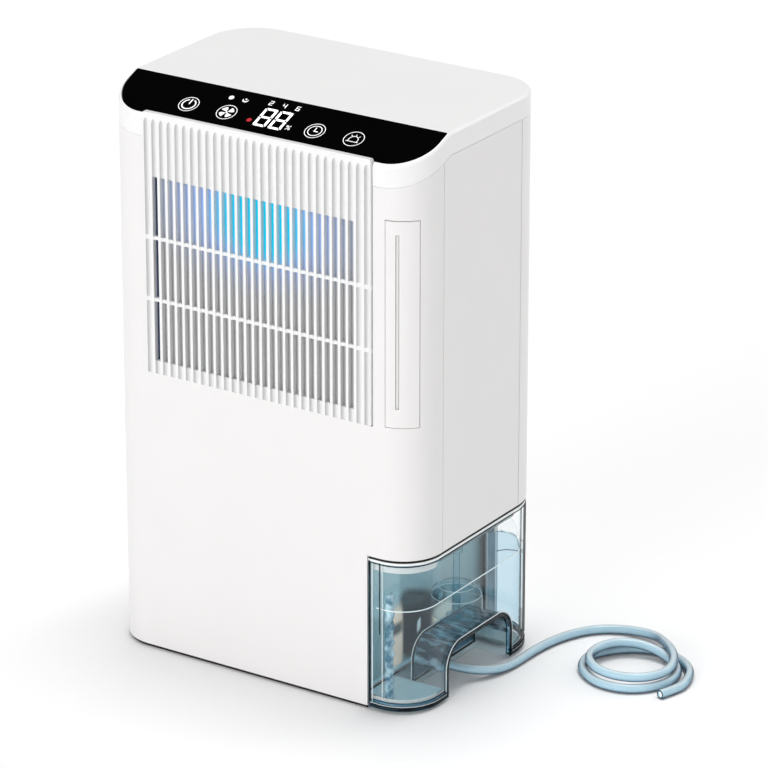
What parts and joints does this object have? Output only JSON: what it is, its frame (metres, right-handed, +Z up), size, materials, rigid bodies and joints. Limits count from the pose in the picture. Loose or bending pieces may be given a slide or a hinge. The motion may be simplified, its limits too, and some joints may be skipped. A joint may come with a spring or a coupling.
{
  "type": "dehumidifier",
  "caption": "Compact upright thermoelectric dehumidifier with sloping touch panel, slotted front grille, side-loading clear water tank and a drain hose.",
  "frame": {"origin": "middle of the casing's footprint at floor level", "axes": "+X to the right seen from the front (the side the tank pulls out of), -Y out of the front face, +Z up"},
  "size_m": [0.3639, 0.1961, 0.39],
  "materials": {
    "white_casing": "satin gloss white moulded ABS",
    "white_grille": "satin gloss white moulded ABS, a little brighter than the casing",
    "black_fascia": "high gloss black acrylic with white printed symbols",
    "base_grey": "fine textured dark grey ABS",
    "rubber": "matte black rubber",
    "liner_white": "plain moulded light ABS",
    "tank_clear": "polished transparent blue plastic",
    "float_foam": "translucent white moulded float",
    "magnet": "plated black magnet",
    "hose_clear": "clear light blue soft PVC",
    "fitting": "natural translucent plastic",
    "aluminium": "extruded fins, lightly brushed",
    "ceramic": "white alumina",
    "foam": "closed cell black foam",
    "fan_black": "semi matt black moulding",
    "pcb": "green solder mask",
    "lens": "milky diffuser",
    "screen": "fine woven nylon dust mesh",
    "steel": "zinc plated screws"
  },
  "bodies": {
    "casing": {"front_shell": "white_casing", "left_side_panel": "white_casing", "right_side_panel": "white_casing", "rear_cover": "white_casing", "top_cover": "white_casing", "corner_light_bezel": "white_casing", "front_grille": "white_grille", "control_panel": "black_fascia", "base_plate": "base_grey", "foot_front_left": "rubber", "foot_rear_left": "rubber", "foot_front_right": "rubber", "foot_rear_right": "rubber", "tank_bay_liner": "liner_white", "module_frame": "liner_white", "exhaust_duct": "liner_white", "drip_tray": "liner_white", "board_bracket": "liner_white", "drip_tube": "fitting", "cold_sink": "aluminium", "hot_sink": "aluminium", "peltier_module": "ceramic", "insulation_gasket": "foam", "fan_frame": "fan_black", "reed_switch": "fan_black", "dc_inlet": "fan_black", "display_board": "pcb", "glow_led_board": "pcb", "main_board": "pcb", "humidity_sensor": "pcb", "corner_led_strip": "pcb", "corner_light_lens": "lens", "dust_screen": "screen", "rear_screw_1": "steel", "rear_screw_2": "steel", "rear_screw_3": "steel", "rear_screw_4": "steel", "fan_screw_1": "steel", "fan_screw_2": "steel", "fan_screw_3": "steel", "fan_screw_4": "steel", "base_screw_1": "steel", "base_screw_2": "steel", "base_screw_3": "steel", "base_screw_4": "steel"},
    "tank": {"water_tank": "tank_clear", "drain_fitting": "fitting", "drain_fitting_nut": "fitting", "float_guide": "fitting", "drain_hose": "hose_clear", "drain_hose_coil": "hose_clear"},
    "float": {"float": "float_foam", "float_magnet": "magnet"},
    "fan": {"fan_rotor": "fan_black"}
  },
  "joints": [
    {"name": "tank_slide", "type": "slide", "parent": "casing", "child": "tank", "axis": [1, 0, 0], "range_m": [0, 0.06]},
    {"name": "float_rise", "type": "slide", "parent": "tank", "child": "float", "axis": [0, 0, 1], "range_m": [0, 0.021]},
    {"name": "fan_spin", "type": "hinge", "parent": "casing", "child": "fan", "pos_m": [0, 0.006, 0.282], "axis": [0, 1, 0], "continuous": true}
  ]
}
